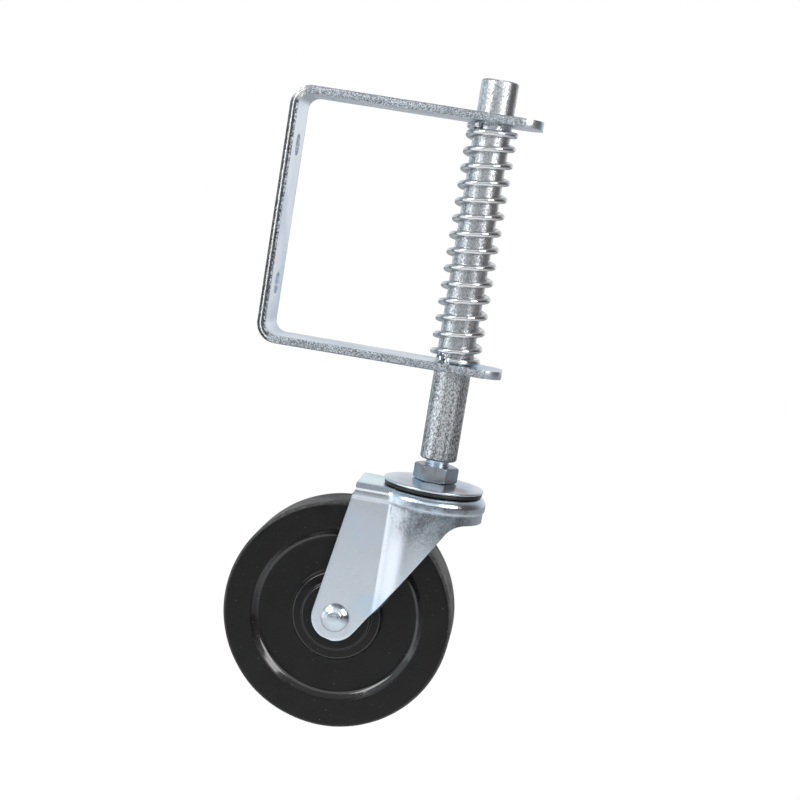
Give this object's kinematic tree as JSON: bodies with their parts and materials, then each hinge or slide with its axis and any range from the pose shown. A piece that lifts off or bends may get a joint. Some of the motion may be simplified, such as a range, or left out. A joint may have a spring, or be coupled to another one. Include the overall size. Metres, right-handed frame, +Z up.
{
  "type": "gate wheel",
  "caption": "Spring-loaded gate wheel: a strap bracket bolts to the gate, a sliding rod in it rides on a coil spring, and a swivelling fork carries a hard rubber wheel.",
  "frame": {"origin": "centre of the bracket's gate face, midway between its two bolt holes", "axes": "+X from the gate face towards the rod, +Y across the strap, +Z up along the rod"},
  "size_m": [0.1382, 0.0602, 0.3641],
  "materials": {
    "zinc_strap": "bright zinc plated, rolled edges speckled",
    "zinc_rod": "zinc plated over a rough drawn surface",
    "zinc_fastener": "bright zinc plated, smooth",
    "zinc_pressing": "bright zinc plated with a faint blue passivation",
    "spring_steel": "bright plated wire",
    "ball_steel": "polished bearing steel",
    "hard_rubber": "satin black moulding, tread a little rougher",
    "seal_rubber": "matt black"
  },
  "bodies": {
    "bracket": {"gate_bracket": "zinc_strap", "compression_spring": "spring_steel"},
    "plunger": {"plunger_rod": "zinc_rod", "stop_pin": "spring_steel", "jam_nut": "zinc_fastener", "king_bolt": "zinc_fastener", "top_plate": "zinc_pressing", "dust_seal": "seal_rubber", "lower_race_cup": "zinc_pressing"},
    "upper_balls": {"upper_ball_01": "ball_steel", "upper_ball_02": "ball_steel", "upper_ball_03": "ball_steel", "upper_ball_04": "ball_steel", "upper_ball_05": "ball_steel", "upper_ball_06": "ball_steel", "upper_ball_07": "ball_steel", "upper_ball_08": "ball_steel", "upper_ball_09": "ball_steel", "upper_ball_10": "ball_steel", "upper_ball_11": "ball_steel", "upper_ball_12": "ball_steel"},
    "lower_balls": {"lower_ball_01": "ball_steel", "lower_ball_02": "ball_steel", "lower_ball_03": "ball_steel", "lower_ball_04": "ball_steel", "lower_ball_05": "ball_steel", "lower_ball_06": "ball_steel", "lower_ball_07": "ball_steel", "lower_ball_08": "ball_steel", "lower_ball_09": "ball_steel", "lower_ball_10": "ball_steel"},
    "fork": {"swivel_fork": "zinc_pressing", "axle_rivet": "zinc_fastener", "axle_sleeve": "zinc_fastener", "near_washer": "zinc_fastener", "far_washer": "zinc_fastener"},
    "wheel": {"wheel": "hard_rubber", "hub_liner": "spring_steel"}
  },
  "joints": [
    {"name": "rod_slide", "type": "slide", "parent": "bracket", "child": "plunger", "axis": [0, 0, 1], "range_m": [0, 0.05], "stiffness_N_per_m": 6270, "springref_m": -0.02, "deforming": ["compression_spring"]},
    {"name": "fork_swivel", "type": "hinge", "parent": "plunger", "child": "fork", "pos_m": [0.1081, 0, -0.1365], "axis": [0, 0, 1], "continuous": true},
    {"name": "upper_row_turn", "type": "hinge", "parent": "plunger", "child": "upper_balls", "pos_m": [0.1081, 0, -0.1365], "axis": [0, 0, 1], "continuous": true},
    {"name": "lower_row_turn", "type": "hinge", "parent": "plunger", "child": "lower_balls", "pos_m": [0.1081, 0, -0.143], "axis": [0, 0, 1], "continuous": true},
    {"name": "wheel_spin", "type": "hinge", "parent": "fork", "child": "wheel", "pos_m": [0.0676, 0, -0.2124], "axis": [0, 1, 0], "continuous": true}
  ],
  "couplings": [
    {"joint": "upper_row_turn", "follows": "fork_swivel", "ratio": 0.5},
    {"joint": "lower_row_turn", "follows": "fork_swivel", "ratio": 0.5}
  ]
}
